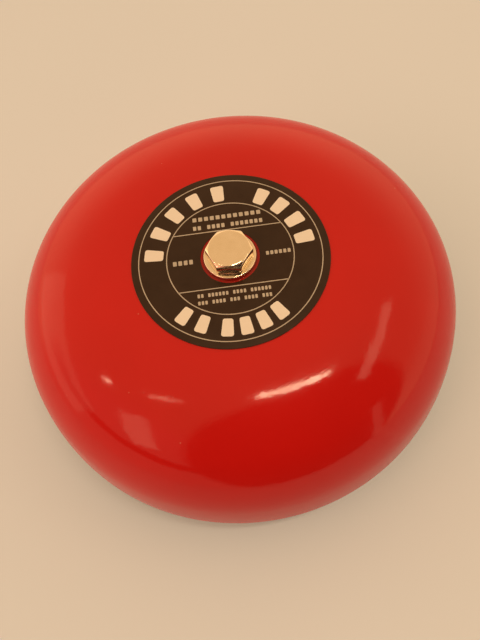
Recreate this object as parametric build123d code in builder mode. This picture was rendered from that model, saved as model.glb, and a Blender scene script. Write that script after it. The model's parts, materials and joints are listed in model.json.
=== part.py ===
from build123d import *
import os

# Fire alarm bell: a pressed round gong that hides its housing, struck from inside by a solenoid plunger.
#
# Frame, millimetres: origin at the centre of the rear face that meets the wall, +Z out of the wall along the
# bell's axis. The striker works along -Y. A "reach" is a distance from the bell's axis along -Y.

# ---- Gong: a flat top, then three arcs that meet tangent and end upright at the rim (R 75, depth 38) ----
GONG_TOP = 56.0
GONG_WALL = 1.6
GONG_FLAT_R = 34.0
GONG_HOLE_R = 4.4
CROWN_R = 55.5
CROWN_TURN = 29.3
SHOULDER_R = 25.7
SHOULDER_TURN = 51.1
SIDE_R = 76.6
SIDE_TURN = 90.0 - CROWN_TURN - SHOULDER_TURN
RIM_ROUND = 0.6
LABEL_R = 31.1
LABEL_HOLE_R = 9.25
LABEL_T = 0.25

# ---- Gong bolt, M8 with a 13 mm hexagon, and its washer ----
BOLT_AF = 13.0
BOLT_HEAD_H = 4.3
BOLT_SHANK_R = 3.92
BOLT_SHANK_L = 20.0
BOLT_TURN = -6.65
BOLT_CHAMFER_R = 6.2
WASHER_R = 8.25
WASHER_HOLE_R = 4.2
WASHER_T = 1.2

# ---- Die-cast mounting base ----
GASKET_T = 2.0
GASKET_INNER_R = 47.5
FLANGE_R = 54.0
FLANGE_T = 3.0
PLATFORM_TOP = 12.0
BASE_WALL = 2.5
HOUSING_R = 40.0
LOBE_HALF = 17.0
LOBE_REACH = 51.0
LOBE_CORNER = 6.0
MOUNT_HOLE_R = 2.4
MOUNT_PCD_R = 44.45
RIB_T = 2.0
RIB_LOW = 4.0
BOSS_LOW = 5.0
UNDER_PLATFORM = PLATFORM_TOP - BASE_WALL

# ---- Fixing places, as x, y ----
COVER_SCREWS = [(0.0, 34.0), (-27.85, -19.5), (27.85, -19.5)]
FRAME_SCREWS = [(-9.0, -33.0), (9.0, -33.0)]
BOARD_SCREWS = [(-16.2, 11.8), (-16.2, 25.7), (9.2, 25.7)]
BLOCK_SCREWS = [(20.0, -13.6), (20.0, 9.6)]
EARTH_PLACE = (-24.0, 5.0)
GROMMET_PLACE = (20.5, 21.0)

# ---- Gong post ----
POST_R = 6.5
POST_FOOT_R = 9.5
POST_FOOT_T = 3.0
POST_TOP = 52.9
POST_BORE_R = 4.0
POST_BORE_FLOOR = 32.0
POST_SCREW_R = 2.45
POST_SCREW_BORE_R = 2.5
POST_SCREW_TIP = 26.0
SEAT_R = 8.5
SEAT_HOLE_R = 4.1
BUMPER_R = 8.5
BUMPER_H = 10.0
SEAL_R = 8.9
SEAL_LIP_R = 11.0
SEAL_LOW = 40.0
SEAL_TOP = 44.8
SEAL_LIP_T = 1.9

# ---- Moulded mechanism cover ----
SEAL_T = 0.8
COVER_WALL = 2.0
COVER_TOP = 44.0
COVER_LOW = PLATFORM_TOP + SEAL_T
COVER_ROUND = 3.0
COVER_POST_HOLE_R = 9.0
PILLAR_R = 5.2
WELL_R = 3.6
WELL_FLOOR = 15.5
SCREW_CLEAR_R = 1.8

# ---- Screws: shank radius, tapped hole radius ----
M3_R = 1.45
M3_TAPPED_R = 1.5
M25_R = 1.2
M25_TAPPED_R = 1.25
M4_R = 2.0
M4_TAPPED_R = 2.05

# ---- Solenoid and striker, by reach ----
STRIKE_Z = 27.0
FRAME_BACK = 20.0
FRAME_FRONT = 46.0
FRAME_T = 2.0
FRAME_HALF = 12.0
FRAME_TOP = 40.0
BOBBIN_R = 12.5
BOBBIN_FLANGE_T = 1.5
BARREL_R = 6.5
WINDING_R = 11.5
WRAP_R = 11.9
TUBE_R = 5.1
TUBE_BORE_R = 4.6
POLE_BACK = 40.0
POLE_NECK_R = 4.5
POLE_NUT_R = 6.0
POLE_NUT_FRONT = 47.4
POLE_BORE_R = 2.1
PLUNGER_R = 4.55
PLUNGER_BACK = 8.6
PLUNGER_FRONT = 35.5
PLUNGER_SOCKET = 29.5
CLIP_BACK = 10.0
CLIP_T = 0.8
CLIP_R = 6.8
GROOVE_R = 4.0
SPRING_R = 5.4
SPRING_WIRE_R = 0.4
SPRING_TURNS = 5
ROD_R = 2.0
ROD_SPIGOT_R = 1.5
ROD_SHOULDER = 62.0
ROD_END = 66.0
TIP_R = 3.5
TIP_BACK = 60.0
TIP_END = 68.55
BUSHING_BORE_R = 2.08
BUSHING_HALF = 5.7
SLOT_HALF = 5.8
LIP_HALF = 7.2
LIP_T = 1.4

# ---- Circuit board ----
BOARD_LOW = 16.0
BOARD_T = 1.6
BOARD_TOP = BOARD_LOW + BOARD_T
BOARD_X = (-19.0, 12.0)
BOARD_Y = (9.0, 28.5)
LEAD_R = 0.7
COMPONENT_LEAD_R = 0.4

# ---- Terminal block ----
BLOCK_X = (17.0, 31.0)
BLOCK_Y = (-11.0, 7.0)
BLOCK_TOP = 24.0
POLES = {"line": 2.5, "neutral": -6.5}
POLE_SCREW_X = 24.5
POCKET_HALF = 3.4
CONTACT_HALF = 3.2
CONTACT_LOW = 15.0
CONTACT_TOP = 17.6
CLAMP_T = 0.8
TERMINAL_SCREW_R = 1.7

strike_axis = Axis((0, 0, STRIKE_Z), (0, -1, 0))
# Across the striker: x is X and y is Z, with the plane's normal along the reach.
strike_plane = Plane(origin=(0, 0, STRIKE_Z), x_dir=(1, 0, 0), z_dir=(0, -1, 0))
# Along the striker: x is the reach and y is the height above the striker's axis.
strike_section = Plane(origin=(0, 0, STRIKE_Z), x_dir=(0, -1, 0), z_dir=(-1, 0, 0))

os.makedirs("parts", exist_ok=True)


def turned(outline, section=Plane.XZ, axis=Axis.Z):
    """Revolve a closed outline about an axis that lies in its plane."""
    with BuildSketch(section) as profile:
        with BuildLine():
            Polyline(*outline, close=True)
        make_face()
    revolve(profile.sketch, axis=axis)


def turned_along_reach(outline):
    """Revolve an outline of (reach, radius) points about the striker's axis."""
    turned(outline, strike_section, strike_axis)


def block(x_span, y_span, z_span, mode=Mode.ADD):
    """A rectangular block between three pairs of limits."""
    with BuildSketch(Plane.XY.offset(z_span[0])) as plan:
        with Locations((sum(x_span) / 2, sum(y_span) / 2)):
            Rectangle(x_span[1] - x_span[0], y_span[1] - y_span[0])
    extrude(plan.sketch, amount=z_span[1] - z_span[0], mode=mode)


def drum(places, radius, low, high, mode=Mode.ADD):
    """Upright cylinders at each place, between two heights."""
    with BuildSketch(Plane.XY.offset(low)) as plan:
        with Locations(*places):
            Circle(radius)
    extrude(plan.sketch, amount=high - low, mode=mode)


def bore_along_reach(radius, back, front):
    """Cut a round hole along the striker's axis, between two reaches."""
    with BuildSketch(strike_plane.offset(back)) as section:
        Circle(radius)
    extrude(section.sketch, amount=front - back, mode=Mode.SUBTRACT)


def housing_plan(inset):
    """Plan of the housing: a round body with a square-ended lobe over the striker."""
    reach = LOBE_REACH - inset
    Circle(HOUSING_R - inset)
    with Locations((0, -reach / 2)):
        lobe = Rectangle(2 * (LOBE_HALF - inset), reach)
    fillet(lobe.vertices().sort_by(Axis.Y)[:2], LOBE_CORNER - inset)


def slotted_screw(places, shank_r, tip, seat, head_r, head_h, slot_w):
    """Pan-headed screws standing at each place, with their heads on the seat height."""
    drum(places, shank_r, tip, seat)
    drum(places, head_r, seat, seat + head_h)
    top_edges = edges().filter_by(GeomType.CIRCLE).group_by(Axis.Z)[-1]
    fillet(top_edges, head_h / 3)
    with BuildSketch(Plane.XY.offset(seat + head_h / 2)) as slots:
        with Locations(*places):
            Rectangle(2.2 * head_r, slot_w)
    extrude(slots.sketch, amount=head_h, mode=Mode.SUBTRACT)


def wire(points, radii, wire_r):
    """A round wire along straight runs joined by tangent arcs."""
    with BuildLine() as path:
        FilletPolyline(*points, radius=radii)
    with BuildSketch(Plane(origin=path.line @ 0, z_dir=path.line % 0)) as section:
        Circle(wire_r)
    sweep(section.sketch, path=path.line)


# ---------------------------------------------------------------- gong and its bolt

def dome_line(inset):
    """Half of the gong's section from its centre hole to its rim, inset from the outer surface."""
    top = Line((GONG_HOLE_R, GONG_TOP - inset), (GONG_FLAT_R, GONG_TOP - inset))
    crown = JernArc(top @ 1, top % 1, CROWN_R - inset, -CROWN_TURN)
    shoulder = JernArc(crown @ 1, crown % 1, SHOULDER_R - inset, -SHOULDER_TURN)
    side = JernArc(shoulder @ 1, shoulder % 1, SIDE_R - inset, -SIDE_TURN)
    return top @ 0, side @ 1


with BuildPart() as gong:
    with BuildSketch(Plane.XZ):
        with BuildLine():
            outer_hole, outer_rim = dome_line(0)
            inner_hole, inner_rim = dome_line(GONG_WALL)
            Line(outer_hole, inner_hole)
            Line(outer_rim, inner_rim)
        make_face()
    revolve(axis=Axis.Z)
    rim_edges = gong.edges().filter_by(GeomType.CIRCLE).group_by(Axis.Z)[0]
    fillet(rim_edges, RIM_ROUND)
gong.part.label = "gong"
export_step(gong.part, "parts/gong.step")

with BuildPart() as gong_label:
    with BuildSketch(Plane.XY.offset(GONG_TOP)):
        Circle(LABEL_R)
        Circle(LABEL_HOLE_R, mode=Mode.SUBTRACT)
    extrude(amount=LABEL_T)
gong_label.part.label = "gong_label"
export_step(gong_label.part, "parts/gong_label.step")

HEAD_LOW = GONG_TOP + WASHER_T
HEAD_TOP = HEAD_LOW + BOLT_HEAD_H

with BuildPart() as bolt_washer:
    turned([(WASHER_HOLE_R, GONG_TOP), (WASHER_R, GONG_TOP), (WASHER_R, HEAD_LOW), (WASHER_HOLE_R, HEAD_LOW)])
    outer_edges = bolt_washer.edges().filter_by(GeomType.CIRCLE).sort_by(SortBy.RADIUS)[-2:]
    fillet(outer_edges, 0.3)
bolt_washer.part.label = "bolt_washer"
export_step(bolt_washer.part, "parts/bolt_washer.step")

with BuildPart() as gong_bolt:
    with BuildSketch(Plane.XY.offset(HEAD_LOW)):
        RegularPolygon(BOLT_AF / 2, 6, major_radius=False, rotation=BOLT_TURN)
    extrude(amount=BOLT_HEAD_H)
    # The turned chamfer leaves a round flat on top and rounds the six corners off.
    chamfer_low = HEAD_TOP - 1.1
    chamfer_r = BOLT_AF * 0.64
    with BuildSketch(Plane.XZ):
        with BuildLine():
            Polyline((BOLT_CHAMFER_R, HEAD_TOP), (chamfer_r, HEAD_TOP), (chamfer_r, chamfer_low), close=True)
        make_face()
    revolve(axis=Axis.Z, mode=Mode.SUBTRACT)
    drum([(0, 0)], BOLT_SHANK_R, HEAD_LOW - BOLT_SHANK_L, HEAD_LOW)
    tip_edge = gong_bolt.edges().filter_by(GeomType.CIRCLE).group_by(Axis.Z)[0]
    chamfer(tip_edge, 0.8)
gong_bolt.part.label = "gong_bolt"
export_step(gong_bolt.part, "parts/gong_bolt.step")

# ---------------------------------------------------------------- base and post

with BuildPart() as mounting_base:
    drum([(0, 0)], FLANGE_R, GASKET_T, GASKET_T + FLANGE_T)
    flange_edge = mounting_base.edges().filter_by(GeomType.CIRCLE).group_by(Axis.Z)[-1]
    fillet(flange_edge, 1.0)
    with BuildSketch(Plane.XY.offset(GASKET_T)):
        housing_plan(0)
    extrude(amount=PLATFORM_TOP - GASKET_T)
    with BuildSketch(Plane.XY.offset(GASKET_T)):
        housing_plan(BASE_WALL)
    extrude(amount=UNDER_PLATFORM - GASKET_T, mode=Mode.SUBTRACT)
    # A cross of ribs stiffens the platform from behind, with a hub round the post's screw.
    with BuildSketch(Plane.XY.offset(RIB_LOW)):
        Rectangle(2 * (HOUSING_R - 1), RIB_T)
        with Locations((0, (HOUSING_R - LOBE_REACH) / 2)):
            Rectangle(RIB_T, HOUSING_R + LOBE_REACH - 2)
        Circle(8.0)
    extrude(amount=UNDER_PLATFORM - RIB_LOW)
    drum([(0, 0)], 5.5, RIB_LOW, UNDER_PLATFORM, mode=Mode.SUBTRACT)
    for places, boss_r, tapped_r in (
        (COVER_SCREWS, 4.0, M3_TAPPED_R),
        (FRAME_SCREWS, 3.5, M3_TAPPED_R),
        (BLOCK_SCREWS, 3.2, M3_TAPPED_R),
        (BOARD_SCREWS, 3.0, M25_TAPPED_R),
        ([EARTH_PLACE], 5.0, M4_TAPPED_R),
    ):
        drum(places, boss_r, BOSS_LOW, UNDER_PLATFORM)
        drum(places, tapped_r, BOSS_LOW, PLATFORM_TOP, mode=Mode.SUBTRACT)
    drum([(0, 0)], 2.6, UNDER_PLATFORM, PLATFORM_TOP, mode=Mode.SUBTRACT)
    drum([GROMMET_PLACE], 6.0, UNDER_PLATFORM, PLATFORM_TOP, mode=Mode.SUBTRACT)
    with BuildSketch(Plane.XY.offset(GASKET_T)):
        with PolarLocations(MOUNT_PCD_R, 4, start_angle=45):
            Circle(MOUNT_HOLE_R)
    extrude(amount=FLANGE_T, mode=Mode.SUBTRACT)
mounting_base.part.label = "mounting_base"
export_step(mounting_base.part, "parts/mounting_base.step")

with BuildPart() as rear_gasket:
    with BuildSketch():
        Circle(FLANGE_R)
        Circle(GASKET_INNER_R, mode=Mode.SUBTRACT)
    extrude(amount=GASKET_T)
rear_gasket.part.label = "rear_gasket"
export_step(rear_gasket.part, "parts/rear_gasket.step")

with BuildPart() as cable_grommet:
    grommet_x, grommet_y = GROMMET_PLACE
    flange_low = UNDER_PLATFORM - 1.5
    flange_top = PLATFORM_TOP + 1.5
    turned(
        [(4.0, flange_low), (7.5, flange_low), (7.5, UNDER_PLATFORM), (6.0, UNDER_PLATFORM),
         (6.0, PLATFORM_TOP), (7.5, PLATFORM_TOP), (7.5, flange_top), (4.0, flange_top)],
        Plane(origin=(grommet_x, grommet_y, 0), x_dir=(1, 0, 0), z_dir=(0, -1, 0)),
        Axis((grommet_x, grommet_y, 0), (0, 0, 1)),
    )
cable_grommet.part.label = "cable_grommet"
export_step(cable_grommet.part, "parts/cable_grommet.step")

with BuildPart() as gong_post:
    foot_top = PLATFORM_TOP + POST_FOOT_T
    screw_bore_end = POST_SCREW_TIP + 1
    turned(
        [(POST_SCREW_BORE_R, PLATFORM_TOP), (POST_FOOT_R, PLATFORM_TOP), (POST_FOOT_R, foot_top),
         (POST_R, foot_top), (POST_R, POST_TOP), (POST_BORE_R, POST_TOP), (POST_BORE_R, POST_BORE_FLOOR),
         (0, POST_BORE_FLOOR), (0, screw_bore_end), (POST_SCREW_BORE_R, screw_bore_end)]
    )
gong_post.part.label = "gong_post"
export_step(gong_post.part, "parts/gong_post.step")

with BuildPart() as post_screw:
    screw_head_low = UNDER_PLATFORM - 3.5
    drum([(0, 0)], POST_SCREW_R, UNDER_PLATFORM, POST_SCREW_TIP)
    drum([(0, 0)], 4.5, screw_head_low, UNDER_PLATFORM)
    with BuildSketch(Plane.XY.offset(screw_head_low)):
        RegularPolygon(2.0, 6, major_radius=False)
    extrude(amount=2.2, mode=Mode.SUBTRACT)
post_screw.part.label = "post_screw"
export_step(post_screw.part, "parts/post_screw.step")

with BuildPart() as seat_washer:
    seat_top = GONG_TOP - GONG_WALL
    turned([(SEAT_HOLE_R, POST_TOP), (SEAT_R, POST_TOP), (SEAT_R, seat_top), (SEAT_HOLE_R, seat_top)])
seat_washer.part.label = "seat_washer"
export_step(seat_washer.part, "parts/seat_washer.step")

with BuildPart() as rest_bumper:
    bumper_low = STRIKE_Z - BUMPER_H / 2
    bumper_top = STRIKE_Z + BUMPER_H / 2
    turned([(POST_R, bumper_low), (BUMPER_R, bumper_low), (BUMPER_R, bumper_top), (POST_R, bumper_top)])
rest_bumper.part.label = "rest_bumper"
export_step(rest_bumper.part, "parts/rest_bumper.step")

with BuildPart() as post_seal:
    lip_top = SEAL_LOW + SEAL_LIP_T
    turned(
        [(POST_R, SEAL_LOW), (SEAL_LIP_R, SEAL_LOW), (SEAL_LIP_R, lip_top), (SEAL_R, lip_top),
         (SEAL_R, SEAL_TOP), (POST_R, SEAL_TOP)]
    )
post_seal.part.label = "post_seal"
export_step(post_seal.part, "parts/post_seal.step")

# ---------------------------------------------------------------- mechanism cover

def striker_slot(half, back, front, mode):
    """An upright U round the striker's axis, open at the platform."""
    with BuildSketch(strike_plane.offset(back)) as arch:
        Circle(half)
        drop = STRIKE_Z - PLATFORM_TOP
        with Locations((0, -drop / 2)):
            Rectangle(2 * half, drop)
    extrude(arch.sketch, amount=front - back, mode=mode)


with BuildPart() as mechanism_cover:
    with BuildSketch(Plane.XY.offset(COVER_LOW)):
        housing_plan(0)
    extrude(amount=COVER_TOP - COVER_LOW)
    fillet(mechanism_cover.faces().sort_by(Axis.Z)[-1].edges(), COVER_ROUND)
    with BuildSketch(Plane.XY.offset(COVER_LOW)):
        housing_plan(COVER_WALL)
    extrude(amount=COVER_TOP - COVER_WALL - COVER_LOW, mode=Mode.SUBTRACT)
    drum(COVER_SCREWS, PILLAR_R, COVER_LOW, COVER_TOP - COVER_WALL)
    drum(COVER_SCREWS, WELL_R, WELL_FLOOR, COVER_TOP, mode=Mode.SUBTRACT)
    drum(COVER_SCREWS, SCREW_CLEAR_R, COVER_LOW, WELL_FLOOR, mode=Mode.SUBTRACT)
    drum([(0, 0)], COVER_POST_HOLE_R, COVER_LOW, COVER_TOP, mode=Mode.SUBTRACT)
    striker_slot(SLOT_HALF, LOBE_REACH - COVER_WALL - 1, LOBE_REACH + 1, Mode.SUBTRACT)
mechanism_cover.part.label = "mechanism_cover"
export_step(mechanism_cover.part, "parts/mechanism_cover.step")

with BuildPart() as cover_screws:
    slotted_screw(COVER_SCREWS, M3_R, BOSS_LOW + 1, WELL_FLOOR, 2.8, 1.8, 0.8)
cover_screws.part.label = "cover_screws"
export_step(cover_screws.part, "parts/cover_screws.step")

with BuildPart() as cover_seal:
    with BuildSketch(Plane.XY.offset(PLATFORM_TOP)):
        housing_plan(0)
        with BuildSketch(mode=Mode.SUBTRACT):
            housing_plan(COVER_WALL)
        with Locations(*COVER_SCREWS):
            Circle(PILLAR_R)
        with Locations(*COVER_SCREWS):
            Circle(SCREW_CLEAR_R, mode=Mode.SUBTRACT)
        # A pad over a screw stops at the edge of the platform.
        with BuildSketch(mode=Mode.INTERSECT):
            housing_plan(0)
        with Locations((0, -LOBE_REACH)):
            Rectangle(2 * LIP_HALF + 0.2, 7.2, mode=Mode.SUBTRACT)
    extrude(amount=SEAL_T)
cover_seal.part.label = "cover_seal"
export_step(cover_seal.part, "parts/cover_seal.step")

with BuildPart() as striker_bushing:
    wall_back = LOBE_REACH - COVER_WALL - 0.1
    wall_front = LOBE_REACH + 0.1
    striker_slot(BUSHING_HALF, wall_back, wall_front, Mode.ADD)
    striker_slot(LIP_HALF, wall_back - LIP_T, wall_back, Mode.ADD)
    striker_slot(LIP_HALF, wall_front, wall_front + LIP_T, Mode.ADD)
    bore_along_reach(BUSHING_BORE_R, wall_back - LIP_T, wall_front + LIP_T)
striker_bushing.part.label = "striker_bushing"
export_step(striker_bushing.part, "parts/striker_bushing.step")

# ---------------------------------------------------------------- solenoid

with BuildPart() as solenoid_frame:
    low = PLATFORM_TOP - STRIKE_Z
    high = FRAME_TOP - STRIKE_Z
    back_inside = FRAME_BACK + FRAME_T
    front_inside = FRAME_FRONT - FRAME_T
    with BuildSketch(strike_section):
        with BuildLine():
            Polyline(
                (FRAME_BACK, high), (FRAME_BACK, low), (FRAME_FRONT, low), (FRAME_FRONT, high),
                (front_inside, high), (front_inside, low + FRAME_T), (back_inside, low + FRAME_T),
                (back_inside, high), close=True,
            )
        make_face()
    extrude(amount=FRAME_HALF, both=True)
    bends = solenoid_frame.edges().filter_by(Axis.X).group_by(Axis.Z)[0]
    fillet(bends, 1.8)
    bore_along_reach(TUBE_R, FRAME_BACK, back_inside)
    bore_along_reach(POLE_NECK_R, front_inside, FRAME_FRONT)
    drum(FRAME_SCREWS, 1.6, PLATFORM_TOP, PLATFORM_TOP + FRAME_T, mode=Mode.SUBTRACT)
solenoid_frame.part.label = "solenoid_frame"
export_step(solenoid_frame.part, "parts/solenoid_frame.step")

with BuildPart() as frame_screws:
    slotted_screw(FRAME_SCREWS, M3_R, BOSS_LOW + 0.5, PLATFORM_TOP + FRAME_T, 2.5, 1.8, 0.7)
frame_screws.part.label = "frame_screws"
export_step(frame_screws.part, "parts/frame_screws.step")

BOBBIN_BACK = FRAME_BACK + FRAME_T
BOBBIN_FRONT = FRAME_FRONT - FRAME_T
WINDING_BACK = BOBBIN_BACK + BOBBIN_FLANGE_T
WINDING_FRONT = BOBBIN_FRONT - BOBBIN_FLANGE_T
TAB_X = (-16.0, -12.0)
TAB_Z = (29.5, 35.5)

with BuildPart() as coil_bobbin:
    turned_along_reach(
        [(BOBBIN_BACK, TUBE_R), (BOBBIN_BACK, BOBBIN_R), (WINDING_BACK, BOBBIN_R), (WINDING_BACK, BARREL_R),
         (WINDING_FRONT, BARREL_R), (WINDING_FRONT, BOBBIN_R), (BOBBIN_FRONT, BOBBIN_R), (BOBBIN_FRONT, TUBE_R)]
    )
    # The lead-out tab stands off the rear flange, beside the frame.
    block(TAB_X, (-BOBBIN_BACK - 3.5, -BOBBIN_BACK), TAB_Z)
coil_bobbin.part.label = "coil_bobbin"
export_step(coil_bobbin.part, "parts/coil_bobbin.step")

with BuildPart() as coil_winding:
    turned_along_reach(
        [(WINDING_BACK, BARREL_R), (WINDING_BACK, WINDING_R), (WINDING_FRONT, WINDING_R), (WINDING_FRONT, BARREL_R)]
    )
coil_winding.part.label = "coil_winding"
export_step(coil_winding.part, "parts/coil_winding.step")

with BuildPart() as coil_wrap:
    turned_along_reach(
        [(WINDING_BACK, WINDING_R), (WINDING_BACK, WRAP_R), (WINDING_FRONT, WRAP_R), (WINDING_FRONT, WINDING_R)]
    )
coil_wrap.part.label = "coil_wrap"
export_step(coil_wrap.part, "parts/coil_wrap.step")

with BuildPart() as guide_tube:
    turned_along_reach(
        [(FRAME_BACK, TUBE_BORE_R), (FRAME_BACK, TUBE_R), (BOBBIN_FRONT, TUBE_R), (BOBBIN_FRONT, TUBE_BORE_R)]
    )
guide_tube.part.label = "guide_tube"
export_step(guide_tube.part, "parts/guide_tube.step")

with BuildPart() as pole_piece:
    turned_along_reach(
        [(POLE_BACK, POLE_BORE_R), (POLE_BACK, TUBE_BORE_R), (BOBBIN_FRONT, TUBE_BORE_R),
         (BOBBIN_FRONT, POLE_NECK_R), (FRAME_FRONT, POLE_NECK_R), (FRAME_FRONT, POLE_NUT_R),
         (POLE_NUT_FRONT, POLE_NUT_R), (POLE_NUT_FRONT, POLE_BORE_R)]
    )
pole_piece.part.label = "pole_piece"
export_step(pole_piece.part, "parts/pole_piece.step")

# ---------------------------------------------------------------- striker

CLIP_FRONT = CLIP_BACK + CLIP_T

with BuildPart() as plunger:
    turned_along_reach(
        [(PLUNGER_BACK, 0), (PLUNGER_BACK, PLUNGER_R), (CLIP_BACK, PLUNGER_R), (CLIP_BACK, GROOVE_R),
         (CLIP_FRONT, GROOVE_R), (CLIP_FRONT, PLUNGER_R), (PLUNGER_FRONT, PLUNGER_R), (PLUNGER_FRONT, ROD_R),
         (PLUNGER_SOCKET, ROD_R), (PLUNGER_SOCKET, 0)]
    )
plunger.part.label = "plunger"
export_step(plunger.part, "parts/plunger.step")

with BuildPart() as plunger_clip:
    with BuildSketch(strike_plane.offset(CLIP_BACK)):
        Circle(CLIP_R)
        Circle(GROOVE_R, mode=Mode.SUBTRACT)
        # The clip's mouth, which snaps over the groove from above.
        with Locations((0, CLIP_R)):
            Rectangle(5.0, 2 * CLIP_R - 2.0, mode=Mode.SUBTRACT)
    extrude(amount=CLIP_T)
plunger_clip.part.label = "plunger_clip"
export_step(plunger_clip.part, "parts/plunger_clip.step")

with BuildPart() as return_spring:
    spring_back = CLIP_FRONT + SPRING_WIRE_R
    spring_length = FRAME_BACK - SPRING_WIRE_R - spring_back
    with BuildLine() as spring_line:
        Helix(
            spring_length / SPRING_TURNS, spring_length, SPRING_R,
            center=(0, -spring_back, STRIKE_Z), direction=(0, -1, 0),
        )
    with BuildSketch(Plane(origin=spring_line.line @ 0, z_dir=spring_line.line % 0)):
        Circle(SPRING_WIRE_R)
    sweep(path=spring_line.line, is_frenet=True)
return_spring.part.label = "return_spring"
export_step(return_spring.part, "parts/return_spring.step")

with BuildPart() as striker_rod:
    turned_along_reach(
        [(PLUNGER_SOCKET, 0), (PLUNGER_SOCKET, ROD_R), (ROD_SHOULDER, ROD_R), (ROD_SHOULDER, ROD_SPIGOT_R),
         (ROD_END, ROD_SPIGOT_R), (ROD_END, 0)]
    )
striker_rod.part.label = "striker_rod"
export_step(striker_rod.part, "parts/striker_rod.step")

with BuildPart() as striker_tip:
    round_start = TIP_END - TIP_R
    with BuildSketch(strike_section):
        with BuildLine():
            Polyline((TIP_END, 0), (ROD_END, 0), (ROD_END, ROD_SPIGOT_R), (ROD_SHOULDER, ROD_SPIGOT_R),
                     (ROD_SHOULDER, ROD_R), (TIP_BACK, ROD_R), (TIP_BACK, TIP_R), (round_start, TIP_R))
            RadiusArc((round_start, TIP_R), (TIP_END, 0), TIP_R)
        make_face()
    revolve(axis=strike_axis)
striker_tip.part.label = "striker_tip"
export_step(striker_tip.part, "parts/striker_tip.step")

# ---------------------------------------------------------------- circuit board

with BuildPart() as circuit_board:
    block(BOARD_X, BOARD_Y, (BOARD_LOW, BOARD_TOP))
    drum(BOARD_SCREWS, 1.4, BOARD_LOW, BOARD_TOP, mode=Mode.SUBTRACT)
circuit_board.part.label = "circuit_board"
export_step(circuit_board.part, "parts/circuit_board.step")

with BuildPart() as board_spacers:
    drum(BOARD_SCREWS, 2.5, PLATFORM_TOP, BOARD_LOW)
    drum(BOARD_SCREWS, 1.4, PLATFORM_TOP, BOARD_LOW, mode=Mode.SUBTRACT)
board_spacers.part.label = "board_spacers"
export_step(board_spacers.part, "parts/board_spacers.step")

with BuildPart() as board_screws:
    slotted_screw(BOARD_SCREWS, M25_R, BOSS_LOW + 1.5, BOARD_TOP, 2.3, 1.5, 0.6)
board_screws.part.label = "board_screws"
export_step(board_screws.part, "parts/board_screws.step")

DIODE_ROWS = [12.6 + 2.8 * row for row in range(4)]
DIODE_X = -5.0
DIODE_HALF = 2.5
DIODE_R = 1.3
DIODE_Z = BOARD_TOP + 1.5

with BuildPart() as rectifier_diodes:
    for row in DIODE_ROWS:
        with BuildSketch(Plane.YZ.offset(DIODE_X - DIODE_HALF)):
            with Locations((row, DIODE_Z)):
                Circle(DIODE_R)
        extrude(amount=2 * DIODE_HALF)
        left = DIODE_X - 4.5
        right = DIODE_X + 4.5
        wire([(left, row, BOARD_TOP), (left, row, DIODE_Z), (right, row, DIODE_Z), (right, row, BOARD_TOP)],
             0.8, COMPONENT_LEAD_R)
rectifier_diodes.part.label = "rectifier_diodes"
export_step(rectifier_diodes.part, "parts/rectifier_diodes.step")

VARISTOR_X = (1.9, 5.1)
VARISTOR_Y = 16.0
VARISTOR_R = 4.5
VARISTOR_Z = BOARD_TOP + 1.0 + VARISTOR_R

with BuildPart() as varistor:
    with BuildSketch(Plane.YZ.offset(VARISTOR_X[0])):
        with Locations((VARISTOR_Y, VARISTOR_Z)):
            Circle(VARISTOR_R)
    extrude(amount=VARISTOR_X[1] - VARISTOR_X[0])
    fillet(varistor.edges().filter_by(GeomType.CIRCLE), 1.2)
    legs = [(sum(VARISTOR_X) / 2, VARISTOR_Y - 2.5), (sum(VARISTOR_X) / 2, VARISTOR_Y + 2.5)]
    drum(legs, COMPONENT_LEAD_R, BOARD_TOP, VARISTOR_Z)
varistor.part.label = "varistor"
export_step(varistor.part, "parts/varistor.step")

with BuildPart() as suppression_capacitor:
    block((-8.0, 5.0), (23.2, 28.2), (BOARD_TOP + 0.3, BOARD_TOP + 8.5))
    fillet(suppression_capacitor.edges().filter_by(Axis.Z), 0.8)
    drum([(-6.5, 25.7), (3.5, 25.7)], COMPONENT_LEAD_R, BOARD_TOP, BOARD_TOP + 1.0)
suppression_capacitor.part.label = "suppression_capacitor"
export_step(suppression_capacitor.part, "parts/suppression_capacitor.step")

# ---------------------------------------------------------------- terminals

with BuildPart() as terminal_block:
    block(BLOCK_X, BLOCK_Y, (PLATFORM_TOP, BLOCK_TOP))
    for x, y in BLOCK_SCREWS:
        block((x - 3.0, x + 3.0), (y - 2.6, y + 2.6), (PLATFORM_TOP, PLATFORM_TOP + 2.5))
    drum(BLOCK_SCREWS, 1.6, PLATFORM_TOP, PLATFORM_TOP + 2.5, mode=Mode.SUBTRACT)
    wall_inside = BLOCK_X[0] + 1.5
    for pole_y in POLES.values():
        # Each pocket is open above for the screwdriver and at its end for the wire.
        block((wall_inside, BLOCK_X[1]), (pole_y - POCKET_HALF, pole_y + POCKET_HALF),
              (CONTACT_LOW, BLOCK_TOP), mode=Mode.SUBTRACT)
        block((BLOCK_X[0], wall_inside), (pole_y - 1.0, pole_y + 1.0), (16.0, 17.0), mode=Mode.SUBTRACT)
        drum([(POLE_SCREW_X, pole_y)], 2.0, PLATFORM_TOP + 0.8, CONTACT_LOW, mode=Mode.SUBTRACT)
terminal_block.part.label = "terminal_block"
export_step(terminal_block.part, "parts/terminal_block.step")

with BuildPart() as terminal_contacts:
    for pole_y in POLES.values():
        block((BLOCK_X[0] + 1.5, BLOCK_X[1] - 0.5), (pole_y - CONTACT_HALF, pole_y + CONTACT_HALF),
              (CONTACT_LOW, CONTACT_TOP))
        block((BLOCK_X[0] - 1.0, BLOCK_X[0] + 1.5), (pole_y - 1.0, pole_y + 1.0), (16.0, 17.0))
        drum([(POLE_SCREW_X, pole_y)], TERMINAL_SCREW_R + 0.05, CONTACT_LOW, CONTACT_TOP, mode=Mode.SUBTRACT)
terminal_contacts.part.label = "terminal_contacts"
export_step(terminal_contacts.part, "parts/terminal_contacts.step")

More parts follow.
